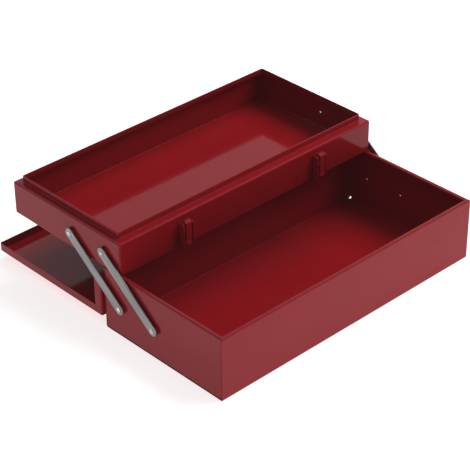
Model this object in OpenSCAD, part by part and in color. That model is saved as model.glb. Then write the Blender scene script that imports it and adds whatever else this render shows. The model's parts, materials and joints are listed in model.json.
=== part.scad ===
// Two-tier cantilever tool box in folded sheet steel, shown standing fully open.
// Units are millimetres. X runs along the box, the front faces -Y and Z is up.
// The origin is the middle of the base tray's underside.

/* [Sheet] */
// Thickness of the sheet steel of the trays and the lid
sheet = 0.9; // [0.6:0.1:1.5]
// Inside radius of every fold in the sheet
fold_r = 1.2; // [0.8:0.1:2]

/* [Base tray] */
// Length of the base tray over its end panels
base_l = 430; // [320:1:600]
// Depth of the base tray from front to rear
base_d = 206; // [165:1:300]
// Height of the base tray to the top of its rim
base_h = 87; // [72:1:140]
// Width of the rim turned inward round the base tray
rim_w = 6; // [5:0.5:10]
// Depth of the edge turned down inside the rim
rim_return = 5; // [4:0.5:10]
// Width of the flanges by which the end panels are welded inside the base tray
weld_flange = 10; // [6:0.5:16]
// Width of the open corner where the folds of an end panel meet at the floor
corner_relief = 3.4; // [2:0.1:6]

/* [Upper tray] */
// Height of the upper tray from its underside to its shelf
tray_h = 45; // [36:1:80]
// How much shorter the upper tray is than the base tray, front to rear
tray_short = 3; // [2.5:0.5:6]
// Width of the shelf along the front of the upper tray
shelf_front = 11; // [8:0.5:16]
// Width of the shelf along the ends of the upper tray
shelf_end = 8; // [7:0.5:16]
// Width of the shelf along the rear of the upper tray
shelf_rear = 8.5; // [7:0.5:16]
// Height of the lip that stands up from the shelf
lip_h = 8.5; // [7:0.5:11]
// Height of the folded-over hem on the lip
hem_h = 5.5; // [3:0.5:6]
// Gap between the upper tray's floor and the base tray's rim
tray_gap = 0.3; // [0.2:0.1:1]

/* [Lid] */
// Height of the lip turned down along the front and ends of the lid
lid_lip = 12; // [11:0.5:20]
// Gap between the lid's end lips and the ends of the trays
lid_end_gap = 0.5; // [0.4:0.1:1]
// How far the lid's front lip stands back from the front of the trays
lid_setback = 1.8; // [1:0.1:4]
// Gap between the lower edge of the lid's rear wall and the base tray's rim
lid_seam = 0.6; // [0.4:0.1:2]
// Gap between the lid's lip and the shelf it closes on
lid_seat = 0.1; // [0.1:0.1:0.5]

/* [Arms] */
// Distance from the rear of the base tray to its rear arm pivots
pivot_inset = 29.8; // [20:0.1:45]
// Distance from the front of the upper tray to its front arm pivots
tray_pivot_inset = 29.2; // [20:0.1:45]
// Distance between the front and rear pivots of one side
pivot_spacing = 60; // [40:1:80]
// Height of the base tray's arm pivots above the floor
base_pivot_h = 41.7; // [30:0.1:60]
// Height of the upper tray's arm pivots above its underside
tray_pivot_h = 21.7; // [15:0.1:30]
// Width of an arm
arm_w = 13.2; // [9:0.1:16]
// Thickness of an arm
arm_t = 2; // [1.5:0.1:3]
// Length of an arm beyond each pivot
arm_end = 7.5; // [7:0.5:12]
// Radius of the rounded outer edges of an arm
arm_edge = 0.8; // [0.3:0.1:1.2]
// Gap between an arm and the tray wall, filled by a spacer
arm_standoff = 2.6; // [1.6:0.1:4]
// Radius of the shoulder rivets in the arms
rivet_r = 2.5; // [2:0.1:4]
// Radius of a shoulder rivet's domed head
rivet_head_r = 3.4; // [3:0.1:5]
// Radius of the spacers between the arms and the walls
spacer_r = 3.6; // [3:0.1:6]
// Running clearance all round a pivot
pivot_clear = 0.05; // [0.02:0.01:0.1]

/* [Hinge] */
// Distance from each end of the base tray to the end of the strip hinge
hinge_inset = 15; // [5:1:60]
// Number of knuckles on the strip hinge
knuckles = 20; // [6:2:30]
// Outer radius of the hinge knuckles
knuckle_r = 2.8; // [2.4:0.1:4]
// Radius of the hinge pin
hinge_pin_r = 1.8; // [1.2:0.1:2.5]
// Height of the base tray's hinge leaf
leaf_h = 22; // [15:1:35]
// Height over which the lid's hinge leaf lies on the lid's rear wall
leaf_lap = 14; // [8:1:30]

/* [Catches] */
// Distance from the end of the upper tray to the middle of a catch
catch_inset = 100; // [50:1:140]
// Width of a catch's bracket
catch_w = 16; // [14:0.5:24]
// How far a catch's lever stands off the tray
catch_reach = 11; // [9:0.5:12]
// How far the end of the thumb tab is bent out beyond the lever
catch_tab_out = 0.4; // [0:0.1:5]
// Radius of a catch's pin
catch_pin_r = 1.2; // [0.8:0.1:1.4]

/* [Handle] */
// Height of the folded handle above the lid, which is what the open lid lies on
handle_h = 12; // [11:0.5:18]
// Distance between the two legs of the handle
handle_span = 124; // [90:1:160]
// Distance from the handle's pivot to its grip
handle_drop = 36; // [30:1:60]
// Radius of the handle's steel rod
rod_r = 3; // [2.5:0.1:4]
// Radius of the handle's sleeve grip
grip_r = 5.7; // [4.5:0.1:5.8]
// Length of the handle's sleeve grip
grip_l = 92; // [60:1:95]

/* [Hidden] */
$fn = 48;
e = 0.01;                       // overlap that makes cuts run clear through
fold_c = fold_r + sheet / 2;    // fold radius at the middle of the sheet
fold_o = fold_r + sheet;        // outside radius of a fold
corner_r = fold_o + 0.4;        // outside radius of the upright corners of drawn pans
rear_y = base_d / 2;
front_y = -base_d / 2;
end_x = base_l / 2;
tray_d = base_d - tray_short;
tray_z = base_h + tray_gap;

// Arms: they lean back when the box is open and forward by as much when it is closed
arm_throw = base_d - pivot_inset - tray_pivot_inset - pivot_spacing;
arm_rise = tray_z + tray_pivot_h - base_pivot_h;
arm_len = sqrt(arm_throw * arm_throw + arm_rise * arm_rise);
arm_lean = atan2(arm_rise, arm_throw);
base_pivot_y = [rear_y - pivot_inset - pivot_spacing, rear_y - pivot_inset];
tray_front_y = front_y + 2 * arm_throw;
neck_r = rivet_r - 0.6;         // radius of a rivet where it passes through a wall
rivet_gap = 0.1;                // end play of an arm on its rivet

// Lid, written as closed and turned over about the hinge pin for the open box
lid_top = tray_z + tray_h + lid_seat + lid_lip;
lid_l = base_l + 2 * (lid_end_gap + sheet);
hinge_gap = 0.3;                // gap between the knuckles and the walls behind them
hinge_y = rear_y + knuckle_r + hinge_gap;
hinge_z = (lid_top + handle_h) / 2;
hinge_l = base_l - 2 * hinge_inset;
knuckle_gap = 0.3;
leaf_t = knuckle_r - hinge_pin_r + hinge_gap;
lid_leaf_h = base_h + lid_seam - hinge_z + leaf_lap;
leaf_rivets = 8;
leaf_rivet_r = 1.6;
lid_front_y = front_y + lid_setback;
lid_bottom = base_h + lid_seam;

// Catches, measured from the upper tray's underside and out from its front face
catch_x = end_x - catch_inset;
plate_t = 1;
plate_low = tray_h - 43;        // lower edge of the bracket
plate_high = tray_h - 8.5;      // upper edge of the bracket
cheek_out = catch_reach - 0.6;  // reach of the bracket's cheeks
spring_room = 2.6;              // gap between the lever and a cheek, for the spring
lever_w = catch_w - 2 * (plate_t + spring_room);
lever_t = 1.2;
lever_in = catch_reach - lever_t;
barrel_r = catch_pin_r + 1;
catch_pin_z = tray_h - 21.5;
catch_pin_out = lever_in - barrel_r - 0.4;
crease_z = tray_h - 30.5;       // where the thumb tab begins
crease = 1.2;                   // how far the lever steps in there
tab_low = tray_h - 38.4;        // lower end of the thumb tab
tab_tilt = atan2(crease + catch_tab_out, crease_z - tab_low);
wire_r = 0.3;
catch_rivet_r = 1.5;
catch_rivet_z = [plate_low + 5, plate_high - 7.5];
nose_z = tray_h - 10.5;         // middle of the keeper's nose
keeper_out = catch_reach - 7.5; // middle of the keeper where it passes the tray's front

// Handle, lying flat on the lid
rod_bend = 10;                  // bend radius between the legs and the grip
foot_bend = 6;                  // bend radius between the legs and the pivot ends
rod_h = handle_h - grip_r;      // height of the rod's middle above the lid
bracket_t = 1.2;
bracket_l = 10;
bracket_foot = 13;              // reach of a bracket's feet from the rod
bracket_x = handle_span / 2 + foot_bend + 1;
handle_rivet_r = 1.8;

paint = [0.56, 0.06, 0.07];
zinc = [0.72, 0.72, 0.72];

// ---- Shapes that repeat ----

function unit(v) = v / norm(v);

// A strip of sheet folded at right angles along a path of its middle line.
// All stretches of the path run along the two axes.
module folded(path, t = sheet, rc = fold_c) {
    last = len(path) - 1;
    for (i = [0:last - 1]) {
        d = unit(path[i + 1] - path[i]);
        a = path[i] + (i > 0 ? rc : 0) * d;
        b = path[i + 1] - (i < last - 1 ? rc : 0) * d;
        half = [abs(d[1]), abs(d[0])] * t / 2;
        low = [min(a[0], b[0]), min(a[1], b[1])] - half;
        high = [max(a[0], b[0]), max(a[1], b[1])] + half;
        translate(low) square(high - low);
    }
    for (i = [1:1:last - 1]) {
        d1 = unit(path[i] - path[i - 1]);
        d2 = unit(path[i + 1] - path[i]);
        centre = path[i] + (d2 - d1) * rc;
        side = d1 - d2;
        translate(centre) intersection() {
            difference() {
                circle(rc + t / 2);
                circle(rc - t / 2);
            }
            translate([side[0] > 0 ? 0 : -rc - t, side[1] > 0 ? 0 : -rc - t]) square(rc + t);
        }
    }
}

// Runs a section drawn as [depth, height] along the box, between two ends
module along_x(x0, x1) {
    translate([x0, 0, 0]) rotate([90, 0, 90]) linear_extrude(x1 - x0) children();
}

// Runs a section drawn as [length, height] from front to rear, between two ends
module along_y(y0, y1) {
    translate([0, y1, 0]) rotate([90, 0, 0]) linear_extrude(y1 - y0) children();
}

module mirrored_x() {
    children();
    mirror([1, 0, 0]) children();
}

// Spherical cap of a rivet, standing on z = 0
module dome(r, h) {
    ball = (r * r + h * h) / (2 * h);
    intersection() {
        translate([0, 0, h - ball]) sphere(ball);
        cylinder(r = r, h = h);
    }
}

// Small rivet through sheets: head on z = 0, stem and closed end below
module small_rivet(r, stem) {
    dome(r * 1.8, r * 0.8);
    translate([0, 0, -stem - e]) cylinder(r = r, h = stem + 2 * e);
    translate([0, 0, -stem]) mirror([0, 0, 1]) dome(r * 1.6, r * 0.7);
}

// Hole for a small rivet, cut from a little above z = 0 to beyond the stem's end
module rivet_hole(r, stem) {
    translate([0, 0, -stem - 0.5]) cylinder(r = r + pivot_clear, h = stem + 0.6);
}

module both_y(d) {
    children();
    translate([0, d, 0]) mirror([0, 1, 0]) children();
}

// Carries a section drawn as [distance in, height] round a rectangle whose front is on
// y = 0, turning the corners on a radius
module swept_ring(w, d, r) {
    both_y(d) along_x(r - w / 2, w / 2 - r) children();
    mirrored_x() translate([-w / 2, 0, 0]) along_y(r, d - r) children();
    mirrored_x() both_y(d) translate([r - w / 2, r, 0]) rotate([0, 0, 180])
        rotate_extrude(angle = 90) translate([r, 0]) mirror([1, 0]) children();
}

module round_rect(w, d, r) {
    translate([-w / 2 + r, 0]) square([w - 2 * r, d]);
    translate([-w / 2, r]) square([w, d - 2 * r]);
    for (x = [r - w / 2, w / 2 - r]) for (y = [r, d - r]) translate([x, y]) circle(r);
}

// ---- Base tray ----

rim_zone = fold_o + 1;          // height of the mitred part of the rim
corner_relief_h = 2.6;          // height of the corner reliefs above the floor
corner_notch = 2.8;             // how far the rear right-hand one cuts into the floor

// Section of one long wall with its rim, from the floor at its foot
module base_pan_section() {
    s = sheet / 2;
    folded([
        [rim_w - s, base_h - rim_return], [rim_w - s, base_h - s], [s, base_h - s], [s, s],
        [base_d - s, s], [base_d - s, base_h - s], [base_d - rim_w + s, base_h - s],
        [base_d - rim_w + s, base_h - rim_return]
    ]);
}

// Plan of what an end panel's rim covers, out to the mitres
module end_rim_plan() {
    m = rim_w + 4;
    polygon([
        [end_x + e, front_y - e], [end_x - m, front_y + m - e],
        [end_x - m, rear_y - m + e], [end_x + e, rear_y + e]
    ]);
}

module rim_prism() {
    translate([0, 0, base_h - rim_zone]) linear_extrude(rim_zone + 1) end_rim_plan();
}

module rim_return_prism() {
    translate([0, 0, base_h - rim_return - 1])
        linear_extrude(rim_return + 2)
            polygon([
                [end_x + 1, front_y + fold_o], [end_x - fold_o, front_y + fold_o],
                [end_x - rim_w - 4, front_y + rim_w + 4], [end_x - rim_w - 4, rear_y - rim_w - 4],
                [end_x - fold_o, rear_y - fold_o], [end_x + 1, rear_y - fold_o]
            ]);
}

module base_pan() {
    color(paint) difference() {
        translate([0, front_y, 0]) along_x(-end_x, end_x) base_pan_section();
        mirrored_x() {
            rim_prism();
            rim_return_prism();
        }
        at_base_leaf_rivets() rivet_hole(leaf_rivet_r, leaf_t + sheet);
        corner_opening(rear_y - sheet - corner_relief, corner_notch, -e);
    }
}

// Opening at the foot of the right-hand panel, from y onward and from a height up
module corner_opening(y, depth, z) {
    translate([end_x - depth, y - e, z])
        cube([depth + 1, corner_relief + 2 * e, sheet + corner_relief_h - z]);
}

// Holes for the arm rivets in the right-hand wall of a tray
module rivet_holes(ys, z) {
    for (y = ys)
        translate([end_x - 2 * sheet, y, z]) rotate([0, 90, 0])
            cylinder(r = neck_r + pivot_clear, h = 3 * sheet);
}

module base_end() {
    s = sheet / 2;
    difference() {
        union() {
            // floor flange and panel
            along_y(front_y + sheet + fold_o, rear_y - sheet - fold_o)
                folded([
                    [end_x - weld_flange, sheet + s], [end_x - s, sheet + s],
                    [end_x - s, base_h - rim_zone]
                ]);
            // panel with its two upright flanges
            translate([0, 0, sheet + fold_o])
                linear_extrude(base_h - rim_zone - sheet - fold_o)
                    folded([
                        [end_x - weld_flange, front_y + sheet + s], [end_x - s, front_y + sheet + s],
                        [end_x - s, rear_y - sheet - s], [end_x - weld_flange, rear_y - sheet - s]
                    ]);
            // rim, mitred to the rims of the long walls
            intersection() {
                along_y(front_y, rear_y)
                    folded([
                        [end_x - s, base_h - rim_zone], [end_x - s, base_h - s],
                        [end_x - rim_w + s, base_h - s], [end_x - rim_w + s, base_h - rim_return]
                    ]);
                union() {
                    rim_prism();
                    rim_return_prism();
                }
            }
        }
        rivet_holes(base_pivot_y, base_pivot_h);
        for (y = [front_y + sheet, rear_y - sheet - corner_relief])
            corner_opening(y, weld_flange + 1, sheet - e);
    }
}

module base_end_left() {
    color(paint) mirror([1, 0, 0]) base_end();
}

module base_end_right() {
    color(paint) base_end();
}

// ---- Arms and their rivets ----

// Shoulder rivet in a right-hand wall, along +X from the wall's outer face
module arm_rivet() {
    grip = arm_standoff + arm_t + rivet_gap;
    rotate([0, 90, 0]) {
        cylinder(r = rivet_r, h = grip);
        translate([0, 0, grip - e]) cylinder(r = rivet_head_r, h = 0.4 + e);
        translate([0, 0, grip + 0.4 - e]) dome(rivet_head_r, 0.9);
        translate([0, 0, -sheet - e]) cylinder(r = neck_r, h = sheet + 2 * e);
        translate([0, 0, -sheet]) mirror([0, 0, 1]) dome(rivet_r, 0.9);
    }
}

module spacer() {
    rotate([0, 90, 0]) difference() {
        cylinder(r = spacer_r, h = arm_standoff - rivet_gap);
        translate([0, 0, -e]) cylinder(r = rivet_r + pivot_clear, h = arm_standoff);
    }
}

module at_base_pivots() {
    for (y = base_pivot_y) translate([end_x, y, base_pivot_h]) children();
}

module at_tray_pivots() {
    for (y = base_pivot_y)
        translate([end_x, y + arm_throw, base_pivot_h + arm_rise]) children();
}

module base_rivets_right() {
    color(zinc) at_base_pivots() arm_rivet();
}

module base_rivets_left() {
    color(zinc) mirror([1, 0, 0]) at_base_pivots() arm_rivet();
}

module base_spacers() {
    color(zinc) mirrored_x() at_base_pivots() spacer();
}

module tray_rivets_right() {
    color(zinc) at_tray_pivots() arm_rivet();
}

module tray_rivets_left() {
    color(zinc) mirror([1, 0, 0]) at_tray_pivots() arm_rivet();
}

module tray_spacers() {
    color(zinc) mirrored_x() at_tray_pivots() spacer();
}

// Section of an arm with its outer edges rounded, drawn as [across, thickness]
module arm_section() {
    flat = arm_w / 2 - arm_edge;
    translate([-arm_w / 2, 0]) square([arm_w, arm_t - arm_edge]);
    translate([-flat, 0]) square([2 * flat, arm_t]);
    for (x = [-flat, flat]) translate([x, arm_t - arm_edge]) circle(arm_edge);
}

// Round end of an arm, about the middle of its curve
module arm_tip() {
    rotate([0, 0, 90]) rotate_extrude(angle = 180) intersection() {
        arm_section();
        square([arm_w, arm_t]);
    }
}

// Arm lying back from the origin, flat on its inner face
module arm_bar() {
    past = arm_end - arm_w / 2;
    rotate([90, 0, 90]) rotate([0, 0, arm_lean]) difference() {
        union() {
            translate([-past, 0, 0]) rotate([90, 0, 90]) linear_extrude(arm_len + 2 * past)
                arm_section();
            translate([-past, 0, 0]) arm_tip();
            translate([arm_len + past, 0, 0]) rotate([0, 0, 180]) arm_tip();
        }
        for (x = [0, arm_len])
            translate([x, 0, -1]) cylinder(r = rivet_r + pivot_clear, h = arm_t + 2);
    }
}

module arm(side, row) {
    color(zinc) mirror([side < 0 ? 1 : 0, 0, 0])
        translate([end_x + arm_standoff, base_pivot_y[row], base_pivot_h]) arm_bar();
}

module arm_left_front() {
    arm(-1, 0);
}

module arm_left_rear() {
    arm(-1, 1);
}

module arm_right_front() {
    arm(1, 0);
}

module arm_right_rear() {
    arm(1, 1);
}

// ---- Upper tray ----

lip_corner = 3;                 // outside radius of the lip's corners
lip_foot = fold_c - sheet / 2 + 0.4;    // how far the lip's fold reaches out over the shelf

// Walls with their folds to the floor and to the shelf
module tray_wall_section() {
    s = sheet / 2;
    folded([[corner_r, s], [s, s], [s, tray_h - s], [corner_r, tray_h - s]]);
}

// Lip with its fold up from the shelf and the hem over its top
module tray_lip_section() {
    s = sheet / 2;
    top = tray_h + lip_h;
    folded([[-lip_foot, tray_h - s], [s, tray_h - s], [s, top - sheet]]);
    translate([sheet, top - hem_h]) square([sheet, hem_h - sheet]);
    translate([sheet, top - sheet]) intersection() {
        circle(sheet);
        translate([-sheet, -e]) square(2 * sheet);
    }
}

module tray_body() {
    lip_w = base_l - 2 * shelf_end;
    lip_d = tray_d - shelf_front - shelf_rear;
    swept_ring(base_l, tray_d, corner_r) tray_wall_section();
    translate([0, shelf_front, 0]) swept_ring(lip_w, lip_d, lip_corner) tray_lip_section();
    translate([corner_r - end_x, corner_r, 0])
        cube([base_l - 2 * corner_r, tray_d - 2 * corner_r, sheet]);
    translate([0, 0, tray_h - sheet]) linear_extrude(sheet) difference() {
        translate([corner_r - end_x, corner_r]) square([base_l, tray_d] - [2, 2] * corner_r);
        translate([0, shelf_front - lip_foot])
            round_rect(lip_w + 2 * lip_foot, lip_d + 2 * lip_foot, lip_corner + lip_foot);
    }
}

module tray_shell() {
    color(paint) difference() {
        translate([0, tray_front_y, tray_z]) tray_body();
        mirrored_x() rivet_holes([for (y = base_pivot_y) y + arm_throw], base_pivot_h + arm_rise);
        at_catch_rivets() rivet_hole(catch_rivet_r, plate_t + sheet);
    }
}

// ---- Lid, in its closed place until turned over ----

module opened() {
    translate([0, 2 * hinge_y, 2 * hinge_z]) rotate([180, 0, 0]) children();
}

module lid_lip_section() {
    s = sheet / 2;
    folded([[corner_r, lid_top - s], [s, lid_top - s], [s, lid_top - lid_lip]]);
}

module lid_body() {
    s = sheet / 2;
    lid_d = rear_y - lid_front_y;
    translate([0, lid_front_y, 0]) swept_ring(lid_l, lid_d, corner_r) lid_lip_section();
    translate([corner_r - lid_l / 2, lid_front_y + corner_r, lid_top - sheet])
        cube([lid_l - 2 * corner_r, lid_d - 2 * corner_r, sheet]);
    // rear wall and its two end flanges, below the lip
    translate([0, 0, lid_bottom]) linear_extrude(lid_top - lid_lip - lid_bottom)
        folded([
            [s - lid_l / 2, rear_y - lid_lip], [s - lid_l / 2, rear_y - s],
            [lid_l / 2 - s, rear_y - s], [lid_l / 2 - s, rear_y - lid_lip]
        ], sheet, corner_r - s);
}

module lid_shell() {
    color(paint) opened() difference() {
        lid_body();
        at_keeper_rivets() rivet_hole(catch_rivet_r, plate_t + sheet);
        at_handle_rivets() rivet_hole(handle_rivet_r, bracket_t + sheet);
        at_lid_leaf_rivets() rivet_hole(leaf_rivet_r, leaf_t + sheet);
    }
}

// ---- Strip hinge ----

knuckle_l = hinge_l / knuckles;

// One leaf about the hinge axis, standing up from it. The first knuckle is number 0.
module leaf(height, first) {
    back = knuckle_r + hinge_gap;
    difference() {
        union() {
            translate([-hinge_l / 2, -back, 0]) cube([hinge_l, leaf_t, height]);
            for (i = [first:2:knuckles - 1])
                translate([i * knuckle_l - hinge_l / 2 + knuckle_gap / 2, 0, 0])
                    rotate([0, 90, 0]) cylinder(r = knuckle_r, h = knuckle_l - knuckle_gap);
        }
        for (i = [1 - first:2:knuckles - 1])
            translate([i * knuckle_l - (hinge_l + knuckle_gap) / 2, -back - 1, -knuckle_r - 1])
                cube([knuckle_l + knuckle_gap, 2 * back, 2 * knuckle_r + 1.4]);
        translate([-hinge_l / 2 - 1, 0, 0]) rotate([0, 90, 0])
            cylinder(r = hinge_pin_r + pivot_clear, h = hinge_l + 2);
    }
}

module along_leaf() {
    pitch = hinge_l / leaf_rivets;
    for (i = [0:leaf_rivets - 1])
        translate([(i + 0.5) * pitch - hinge_l / 2, 0, 0]) children();
}

module at_base_leaf_rivets() {
    along_leaf() translate([0, rear_y + leaf_t, hinge_z - leaf_h * 0.62]) rotate([-90, 0, 0])
        children();
}

module at_lid_leaf_rivets() {
    along_leaf() translate([0, rear_y + leaf_t, lid_bottom + leaf_lap / 2]) rotate([-90, 0, 0])
        children();
}

module hinge_leaf_base() {
    color(paint) difference() {
        translate([0, hinge_y, hinge_z]) mirror([0, 0, 1]) leaf(leaf_h, 0);
        at_base_leaf_rivets() rivet_hole(leaf_rivet_r, leaf_t);
    }
}

module hinge_leaf_lid() {
    color(paint) opened() difference() {
        translate([0, hinge_y, hinge_z]) leaf(lid_leaf_h, 1);
        at_lid_leaf_rivets() rivet_hole(leaf_rivet_r, leaf_t);
    }
}

module hinge_pin() {
    color(zinc) translate([0, hinge_y, hinge_z]) mirrored_x() {
        rotate([0, 90, 0]) cylinder(r = hinge_pin_r, h = hinge_l / 2 + 0.4);
        translate([hinge_l / 2 + 0.3, 0, 0]) rotate([0, 90, 0]) dome(hinge_pin_r + 0.5, 0.9);
    }
}

module hinge_rivets_base() {
    color(paint) at_base_leaf_rivets() small_rivet(leaf_rivet_r, leaf_t + sheet);
}

module hinge_rivets_lid() {
    color(paint) opened() at_lid_leaf_rivets() small_rivet(leaf_rivet_r, leaf_t + sheet);
}

// ---- Catches ----

// Origin of a catch: on the upper tray's front face, at the height of its underside
module at_catch(side) {
    translate([side * catch_x, tray_front_y, tray_z]) children();
}

module at_catch_rivets() {
    for (side = [-1, 1]) for (z = catch_rivet_z)
        at_catch(side) translate([0, -plate_t, z]) rotate([90, 0, 0]) children();
}

// Sheet bracket with its two cheeks folded forward
module catch_bracket() {
    s = plate_t / 2;
    w = catch_w / 2;
    nip = 3;                    // corner cut off each cheek
    difference() {
        intersection() {
            translate([0, 0, plate_low]) linear_extrude(plate_high - plate_low)
                folded([
                    [s - w, -cheek_out - 1], [s - w, -s], [w - s, -s], [w - s, -cheek_out - 1]
                ], plate_t, 1.3);
            along_x(-w - 1, w + 1)
                polygon([
                    [1, plate_low], [nip - cheek_out, plate_low], [-cheek_out, plate_low + nip],
                    [-cheek_out, plate_high - nip], [nip - cheek_out, plate_high], [1, plate_high]
                ]);
        }
        translate([-w - 1, -catch_pin_out, catch_pin_z]) rotate([0, 90, 0])
            cylinder(r = catch_pin_r + pivot_clear, h = catch_w + 2);
        for (z = catch_rivet_z)
            translate([0, -plate_t, z]) rotate([90, 0, 0]) rivet_hole(catch_rivet_r, plate_t);
    }
}

// Side view of the lever, drawn as [depth, height]: hook, neck with the web that
// carries the barrel, crease and thumb tab
module lever_section() {
    web = barrel_r * 0.7;
    polygon([
        [-catch_reach, tray_h - 7.8], [4.2 - catch_reach, tray_h - 5.2],
        [5.4 - catch_reach, tray_h - 5.8], [6 - catch_reach, tray_h - 9],
        [4.9 - catch_reach, tray_h - 9], [4.2 - catch_reach, tray_h - 6.8],
        [-lever_in, tray_h - 8.8], [-lever_in, catch_pin_z + web],
        [-catch_pin_out, catch_pin_z + web], [-catch_pin_out, catch_pin_z - web],
        [-lever_in, catch_pin_z - web], [-lever_in, crease_z + 2],
        [crease - lever_in, crease_z], [-lever_in - catch_tab_out, tab_low],
        [-catch_reach - catch_tab_out, tab_low], [crease - catch_reach, crease_z],
        [-catch_reach, crease_z + 2]
    ]);
}

// What is cut off to round the end of the thumb tab
module tab_corners() {
    r = lever_w * 0.54;
    translate([0, -catch_reach - catch_tab_out, tab_low]) rotate([90 - tab_tilt, 0, 0])
        translate([0, r, -4]) linear_extrude(8) difference() {
            translate([-r - 1, -r - 1]) square([2 * r + 2, r + 1]);
            circle(r);
        }
}

// Pressed lever: a hook above, a thumb tab bent out below and a barrel on the pin
module catch_lever() {
    barrel_w = lever_w - 0.4;
    difference() {
        union() {
            along_x(-lever_w / 2, lever_w / 2) lever_section();
            translate([-barrel_w / 2, -catch_pin_out, catch_pin_z]) rotate([0, 90, 0])
                cylinder(r = barrel_r, h = barrel_w);
        }
        tab_corners();
        translate([-lever_w, -catch_pin_out, catch_pin_z]) rotate([0, 90, 0])
            cylinder(r = catch_pin_r + pivot_clear, h = 2 * lever_w);
    }
}

// Torsion spring beside the lever's barrel: three turns and two legs
module catch_spring() {
    coil_r = catch_pin_r + 0.3 + wire_r;
    turn = 1.8 * wire_r;
    leg = 1.5 * wire_r;
    translate([lever_w / 2 + 0.25 + wire_r, -catch_pin_out, catch_pin_z]) {
        rotate([0, 90, 0]) rotate_extrude() for (i = [0:2])
            translate([coil_r, i * turn]) circle(wire_r);
        translate([-leg / 2, -coil_r - leg / 2, -5]) cube([leg, leg, 5]);
        translate([2 * turn - leg / 2, coil_r - leg / 2, -7]) cube([leg, leg, 7]);
    }
}

module catch_pin() {
    half = catch_w / 2 + 0.2;
    translate([0, -catch_pin_out, catch_pin_z]) mirrored_x() rotate([0, 90, 0]) {
        cylinder(r = catch_pin_r, h = half);
        translate([0, 0, half - e]) dome(catch_pin_r + 0.7, 0.8);
    }
}

module catch_bracket_left() {
    color(paint) at_catch(-1) catch_bracket();
}

module catch_bracket_right() {
    color(paint) at_catch(1) catch_bracket();
}

module catch_lever_left() {
    color(paint) at_catch(-1) catch_lever();
}

module catch_lever_right() {
    color(paint) at_catch(1) catch_lever();
}

module catch_pins() {
    color(paint) for (side = [-1, 1]) at_catch(side) catch_pin();
}

module catch_springs() {
    color(zinc) for (side = [-1, 1]) at_catch(side) catch_spring();
}

module catch_rivets() {
    color(paint) at_catch_rivets() small_rivet(catch_rivet_r, plate_t + sheet);
}

// ---- Keepers on the lid, which the catches hook over when it is closed ----

module at_keeper_rivets() {
    for (x = [-catch_x, catch_x]) for (dx = [-1, 1] * (catch_w / 2 - 3.2))
        translate([x + dx, lid_front_y - plate_t, lid_top - lid_lip / 2 - 0.2]) rotate([90, 0, 0])
            children();
}

// Strip riveted to the lid's lip, with a narrow tongue that ends in a nose
module keeper() {
    s = plate_t / 2;
    w = catch_w / 2;
    ledge = tray_z + tray_h + 1.2;
    difference() {
        along_x(-w, w)
            folded([
                [lid_front_y - s, lid_top - fold_o], [lid_front_y - s, ledge],
                [front_y - keeper_out, ledge], [front_y - keeper_out, tray_z + nose_z],
                [front_y - keeper_out - 2.9, tray_z + nose_z]
            ], plate_t, 1);
        mirrored_x() translate([lever_w / 2, front_y - 10, tray_z + nose_z - 2])
            cube([w, 20, ledge + s + 0.1 - (tray_z + nose_z - 2)]);
    }
}

module lid_keepers() {
    color(paint) opened() difference() {
        for (x = [-catch_x, catch_x]) translate([x, 0, 0]) keeper();
        at_keeper_rivets() rivet_hole(catch_rivet_r, plate_t);
    }
}

module keeper_rivets() {
    color(paint) opened() at_keeper_rivets() small_rivet(catch_rivet_r, plate_t + sheet);
}

// ---- Carrying handle, folded flat on the lid ----

module rod_turn(r) {
    rotate_extrude(angle = 90) translate([r, 0]) circle(rod_r);
}

// Handle about its pivot line, the grip toward +Y
module bail() {
    half = handle_span / 2;
    mirrored_x() {
        // pivot end, leg and half of the grip, with their two turns
        translate([half + foot_bend, 0, 0]) rotate([0, 90, 0]) cylinder(r = rod_r, h = bracket_l + 2.5);
        translate([half + foot_bend, foot_bend, 0]) rotate([0, 0, 180]) rod_turn(foot_bend);
        translate([half, foot_bend, 0]) rotate([-90, 0, 0])
            cylinder(r = rod_r, h = handle_drop - foot_bend - rod_bend);
        translate([half - rod_bend, handle_drop - rod_bend, 0]) rod_turn(rod_bend);
        translate([0, handle_drop, 0]) rotate([0, 90, 0]) cylinder(r = rod_r, h = half - rod_bend);
    }
}

module at_handle() {
    translate([0, 0, lid_top + rod_h]) children();
}

module at_handle_rivets() {
    for (x = [-1, 1]) for (y = [-1, 1])
        translate([x * (bracket_x + bracket_l / 2), y * (bracket_foot - 4.2), lid_top + bracket_t])
            children();
}

module handle_bail() {
    color(zinc) opened() at_handle() bail();
}

module handle_grip() {
    soft = 1.2;
    color([0.1, 0.1, 0.1]) opened() at_handle() translate([-grip_l / 2, handle_drop, 0])
        rotate([0, 90, 0]) difference() {
            union() {
                translate([0, 0, soft]) cylinder(r = grip_r, h = grip_l - 2 * soft);
                cylinder(r = grip_r - soft, h = grip_l);
                for (z = [soft, grip_l - soft]) translate([0, 0, z])
                    rotate_extrude() translate([grip_r - soft, 0]) circle(soft);
            }
            translate([0, 0, -1]) cylinder(r = rod_r + pivot_clear, h = grip_l + 2);
        }
}

// Strap bent round the rod, with its two feet flat on the lid
module handle_bracket() {
    bore = rod_r + pivot_clear;
    pinch = 1;
    translate([bracket_x, 0, lid_top]) along_x(0, bracket_l) {
        difference() {
            translate([0, rod_h]) circle(bore + bracket_t);
            translate([0, rod_h]) circle(bore);
            translate([-pinch, 0]) square([2 * pinch, rod_h]);
        }
        for (m = [0, 1]) mirror([m, 0]) {
            translate([pinch, 0]) square([bracket_t, rod_h - bore]);
            translate([pinch, 0]) square([bracket_foot - pinch, bracket_t]);
        }
    }
}

module drilled_bracket() {
    difference() {
        handle_bracket();
        at_handle_rivets() rivet_hole(handle_rivet_r, bracket_t);
    }
}

module handle_bracket_left() {
    color(zinc) opened() mirror([1, 0, 0]) drilled_bracket();
}

module handle_bracket_right() {
    color(zinc) opened() drilled_bracket();
}

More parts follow.
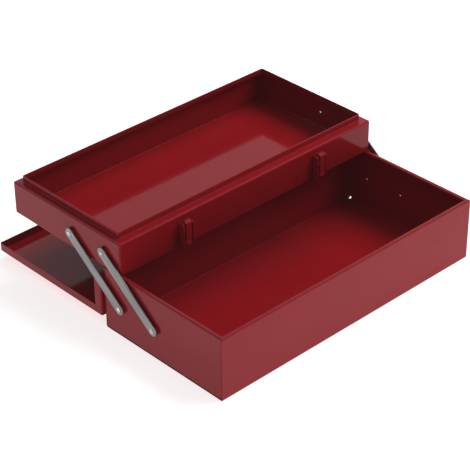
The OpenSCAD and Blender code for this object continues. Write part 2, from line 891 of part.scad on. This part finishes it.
module handle_rivets() {
    color(zinc) opened() at_handle_rivets() small_rivet(handle_rivet_r, bracket_t + sheet);
}

// ---- Everything drawn ----

base_pan();
base_end_left();
base_end_right();
base_rivets_left();
base_rivets_right();
base_spacers();
arm_left_front();
arm_left_rear();
arm_right_front();
arm_right_rear();
tray_shell();
tray_rivets_left();
tray_rivets_right();
tray_spacers();
hinge_leaf_base();
hinge_leaf_lid();
hinge_pin();
hinge_rivets_base();
hinge_rivets_lid();
lid_shell();
catch_bracket_left();
catch_bracket_right();
catch_lever_left();
catch_lever_right();
catch_pins();
catch_springs();
catch_rivets();
lid_keepers();
keeper_rivets();
handle_bail();
handle_grip();
handle_bracket_left();
handle_bracket_right();
handle_rivets();
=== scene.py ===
"""Looks of the two-tier cantilever tool box: enamel, zinc and plastic, studio light and camera."""
import json
import math

import bpy
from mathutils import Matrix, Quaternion, Vector


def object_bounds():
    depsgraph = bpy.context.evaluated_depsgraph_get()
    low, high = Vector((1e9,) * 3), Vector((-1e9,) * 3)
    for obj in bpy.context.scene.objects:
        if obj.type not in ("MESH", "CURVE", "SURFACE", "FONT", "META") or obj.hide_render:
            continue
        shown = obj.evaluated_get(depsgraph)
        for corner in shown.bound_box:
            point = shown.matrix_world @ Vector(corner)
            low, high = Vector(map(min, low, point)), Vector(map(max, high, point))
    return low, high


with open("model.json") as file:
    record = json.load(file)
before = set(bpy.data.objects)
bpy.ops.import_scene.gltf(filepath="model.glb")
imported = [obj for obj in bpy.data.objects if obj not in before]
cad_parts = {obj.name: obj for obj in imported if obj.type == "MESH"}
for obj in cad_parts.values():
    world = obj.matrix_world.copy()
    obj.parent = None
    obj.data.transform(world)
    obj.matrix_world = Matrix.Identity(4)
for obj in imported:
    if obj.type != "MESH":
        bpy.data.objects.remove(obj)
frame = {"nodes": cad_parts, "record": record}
cad_box = [list(v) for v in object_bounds()]

# ---------------------------------------------------------------- materials

NOISE_LOW = 0.3
NOISE_HIGH = 0.7
DRAWING_LINES = 2600        # noise scale of the fine lines in drawn metal, about 0.4 mm apart
DRAWN_OUT = 25              # how many times longer than wide those lines are


def new_material(name):
    """A material with nothing in it but a Principled shader."""
    mat = bpy.data.materials.new(name)
    mat.use_nodes = True
    tree = mat.node_tree
    tree.nodes.clear()
    out = tree.nodes.new("ShaderNodeOutputMaterial")
    bsdf = tree.nodes.new("ShaderNodeBsdfPrincipled")
    tree.links.new(bsdf.outputs["BSDF"], out.inputs["Surface"])
    return mat, tree, bsdf


def object_coords(tree, slope=0.0, stretch=1.0):
    """Object coordinates that draw a pattern out `stretch` times along a line rising `slope` from Y."""
    coord = tree.nodes.new("ShaderNodeTexCoord")
    turned = tree.nodes.new("ShaderNodeMapping")
    turned.inputs["Rotation"].default_value = (-slope, 0, 0)
    drawn = tree.nodes.new("ShaderNodeMapping")
    drawn.inputs["Scale"].default_value = (1, 1 / stretch, 1)
    tree.links.new(coord.outputs["Object"], turned.inputs["Vector"])
    tree.links.new(turned.outputs["Vector"], drawn.inputs["Vector"])
    return drawn.outputs["Vector"]


def noise(tree, vector, scale, detail=2.0, roughness=0.5):
    n = tree.nodes.new("ShaderNodeTexNoise")
    n.inputs["Scale"].default_value = scale
    n.inputs["Detail"].default_value = detail
    n.inputs["Roughness"].default_value = roughness
    tree.links.new(vector, n.inputs["Vector"])
    return n.outputs["Fac"]


def to_range(tree, value, low, high):
    """Spreads the middle of a noise, where nearly all of it lies, over low to high."""
    m = tree.nodes.new("ShaderNodeMapRange")
    m.inputs["From Min"].default_value = NOISE_LOW
    m.inputs["From Max"].default_value = NOISE_HIGH
    m.inputs["To Min"].default_value = low
    m.inputs["To Max"].default_value = high
    tree.links.new(value, m.inputs["Value"])
    return m.outputs["Result"]


def mix_colors(tree, factor, first, second):
    """Blends two fixed colours. The colours of a Mix node are its inputs 6 and 7 and its output 2."""
    m = tree.nodes.new("ShaderNodeMix")
    m.data_type = "RGBA"
    tree.links.new(factor, m.inputs[0])
    m.inputs[6].default_value = (*first, 1)
    m.inputs[7].default_value = (*second, 1)
    return m.outputs[2]


def bump(tree, bsdf, height, strength, distance):
    b = tree.nodes.new("ShaderNodeBump")
    b.inputs["Strength"].default_value = strength
    b.inputs["Distance"].default_value = distance
    tree.links.new(height, b.inputs["Height"])
    tree.links.new(b.outputs["Normal"], bsdf.inputs["Normal"])


def enamel(name, deep, bright):
    """Gloss enamel: a faint orange peel, and colour that thins very slightly from place to place."""
    mat, tree, bsdf = new_material(name)
    vector = object_coords(tree)
    drift = to_range(tree, noise(tree, vector, 14, 3), 0, 1)
    tree.links.new(mix_colors(tree, drift, deep, bright), bsdf.inputs["Base Color"])
    tree.links.new(to_range(tree, noise(tree, vector, 60, 3), 0.07, 0.12), bsdf.inputs["Roughness"])
    bsdf.inputs["Specular IOR Level"].default_value = 0.155
    bsdf.inputs["Specular Tint"].default_value = (0.98, 0.87, 1, 1)
    bsdf.inputs["Emission Color"].default_value = (0.88, 0.9, 1, 1)
    # Real enamel gives off no light: this lifts the deepest shade to the neutral black of the photograph.
    bsdf.inputs["Emission Strength"].default_value = 0.0046
    bump(tree, bsdf, noise(tree, vector, 420, 2), 0.05, 0.00012)
    return mat


def zinc(name, dull, bright, rough, slope=0.0, grain=180, streaks=1.0):
    """Bright zinc plate: fine drawing lines, and a coarser grain drawn out `streaks` times along them."""
    mat, tree, bsdf = new_material(name)
    bsdf.inputs["Metallic"].default_value = 1
    vector = object_coords(tree, slope, streaks)
    along = object_coords(tree, slope, DRAWN_OUT)
    lines = noise(tree, along, DRAWING_LINES, 2)
    cloud = to_range(tree, noise(tree, vector, grain, 4), 0, 1)
    tree.links.new(mix_colors(tree, cloud, dull, bright), bsdf.inputs["Base Color"])
    tree.links.new(to_range(tree, lines, *rough), bsdf.inputs["Roughness"])
    bump(tree, bsdf, lines, 0.12, 0.00006)
    return mat


def plastic(name):
    """Moulded black plastic: a matt, finely pitted skin that is slightly greyer in patches."""
    mat, tree, bsdf = new_material(name)
    vector = object_coords(tree)
    patchy = to_range(tree, noise(tree, vector, 90, 3), 0, 1)
    worn = mix_colors(tree, patchy, (0.018, 0.018, 0.020), (0.028, 0.028, 0.030))
    tree.links.new(worn, bsdf.inputs["Base Color"])
    tree.links.new(to_range(tree, noise(tree, vector, 300, 3), 0.42, 0.55), bsdf.inputs["Roughness"])
    bump(tree, bsdf, noise(tree, vector, 1500, 2), 0.25, 0.0001)
    return mat


red = enamel("red_enamel", (0.284, 0.0065, 0.0100), (0.306, 0.0075, 0.0112))
plate = zinc("zinc_plate", (0.225, 0.215, 0.212), (0.305, 0.292, 0.288), (0.28, 0.42))
rivet_plate = zinc("zinc_plate_rivets", (0.12, 0.124, 0.118), (0.84, 0.835, 0.81), (0.1, 0.2), grain=460)
black = plastic("black_plastic")

# The grain of the arms runs along them, from the lower pivot to the upper one.
joint_place = {j["name"]: j["pos_m"] for j in frame["record"]["behaviour"]["joints"]}
foot = joint_place["tray_swing"]
head = joint_place["tray_level"]
arm_slope = math.atan2(head[2] - foot[2], head[1] - foot[1])
arm_plate = zinc(
    "zinc_plate_arms", (0.18, 0.175, 0.176), (0.31, 0.302, 0.304), (0.36, 0.48),
    arm_slope, grain=520, streaks=30,
)

material_of = {"red_enamel": red, "zinc_plate": plate, "black_plastic": black}
slot_of = {s["node"]: s["material_slot"] for s in frame["record"]["subparts"]}
for name, obj in frame["nodes"].items():
    mat = material_of[slot_of[name]]
    if name.startswith("arm_"):
        mat = arm_plate
    if mat is plate and "rivet" in name:
        mat = rivet_plate
    obj.data.materials.clear()
    obj.data.materials.append(mat)

# ---------------------------------------------------------------- floor, light and camera

FLOOR_HALF = 12.0           # half the side of the floor
FLOOR_DROP = 0.0002         # keeps the floor clear of the underside of the box
CAMERA_CLIP = (0.05, 100)

low_corner, high_corner = (Vector(v) for v in cad_box)
centre = (low_corner + high_corner) / 2


def camera_white(tree):
    """1 for rays that show the background: from the camera, in gloss and through glass."""
    path = tree.nodes.new("ShaderNodeLightPath")
    total = path.outputs["Is Camera Ray"]
    for out in ("Is Glossy Ray", "Is Transmission Ray"):
        m = tree.nodes.new("ShaderNodeMath")
        m.operation = "MAXIMUM"
        tree.links.new(total, m.inputs[0])
        tree.links.new(path.outputs[out], m.inputs[1])
        total = m.outputs[0]
    return total


def floor_material():
    """Pale and matt, with a glow that makes it white in the picture and keeps a faint shadow."""
    mat = bpy.data.materials.new("floor")
    mat.use_nodes = True
    tree = mat.node_tree
    tree.nodes.clear()
    out = tree.nodes.new("ShaderNodeOutputMaterial")
    diffuse = tree.nodes.new("ShaderNodeBsdfDiffuse")
    diffuse.inputs["Color"].default_value = (0.8, 0.8, 0.8, 1)
    glow = tree.nodes.new("ShaderNodeEmission")
    add = tree.nodes.new("ShaderNodeAddShader")
    lift = tree.nodes.new("ShaderNodeMapRange")
    lift.inputs["To Min"].default_value = 0.71      # light thrown back up on the box
    lift.inputs["To Max"].default_value = 0.74      # the floor as it is seen
    tree.links.new(camera_white(tree), lift.inputs["Value"])
    tree.links.new(lift.outputs["Result"], glow.inputs["Strength"])
    tree.links.new(diffuse.outputs[0], add.inputs[0])
    tree.links.new(glow.outputs[0], add.inputs[1])
    tree.links.new(add.outputs[0], out.inputs["Surface"])
    return mat


mesh = bpy.data.meshes.new("floor")
floor_corners = [(x * FLOOR_HALF, y * FLOOR_HALF, 0) for x, y in ((-1, -1), (1, -1), (1, 1), (-1, 1))]
mesh.from_pydata(floor_corners, [], [(0, 1, 2, 3)])
floor = bpy.data.objects.new("floor", mesh)
bpy.context.scene.collection.objects.link(floor)
floor.location.z = -FLOOR_DROP
mesh.materials.append(floor_material())

world = bpy.data.worlds.new("studio")
bpy.context.scene.world = world
world.use_nodes = True
tree = world.node_tree
tree.nodes.clear()
out = tree.nodes.new("ShaderNodeOutputWorld")
background = tree.nodes.new("ShaderNodeBackground")
background.inputs["Color"].default_value = (1, 1, 1, 1)
level = tree.nodes.new("ShaderNodeMapRange")
level.inputs["To Min"].default_value = 0.06      # soft light from all round
level.inputs["To Max"].default_value = 1.0       # white backdrop
tree.links.new(camera_white(tree), level.inputs["Value"])
tree.links.new(level.outputs["Result"], background.inputs["Strength"])
tree.links.new(background.outputs[0], out.inputs["Surface"])


def softbox(name, place, side, watts):
    """A square lamp that faces the box and can't be seen in its gloss, where only the white room shows."""
    light = bpy.data.lights.new(name, "AREA")
    light.shape = "RECTANGLE"
    light.size = side
    light.size_y = side
    light.energy = watts
    obj = bpy.data.objects.new(name, light)
    bpy.context.scene.collection.objects.link(obj)
    obj.location = place
    obj.rotation_euler = (centre - Vector(place)).to_track_quat("-Z", "Y").to_euler()
    obj.visible_glossy = False


softbox("side", (1.4, -0.1, 2.1), 1.6, 30)
softbox("front", (1.2, -1.2, 2.0), 1.4, 16)
softbox("ceiling", (0.0, 0.0, 2.4), 3.2, 15)

# Where the photograph was taken from, fitted to edges of the box in it.
eye_place = Vector((-1.2713, -1.2497, 1.2284))
aim_point = Vector((-0.0367, 0.0634, 0.0704))
camera_roll = math.radians(-0.527)
camera = bpy.data.cameras.new("camera")
camera.sensor_width = 36
camera.lens = 132.2
camera.clip_start, camera.clip_end = CAMERA_CLIP
eye = bpy.data.objects.new("camera", camera)
bpy.context.scene.collection.objects.link(eye)
eye.location = eye_place
aim = (aim_point - eye_place).to_track_quat("-Z", "Y")
eye.rotation_euler = (aim @ Quaternion((0, 0, 1), camera_roll)).to_euler()
bpy.context.scene.camera = eye
bpy.context.scene.view_settings.view_transform = "Standard"
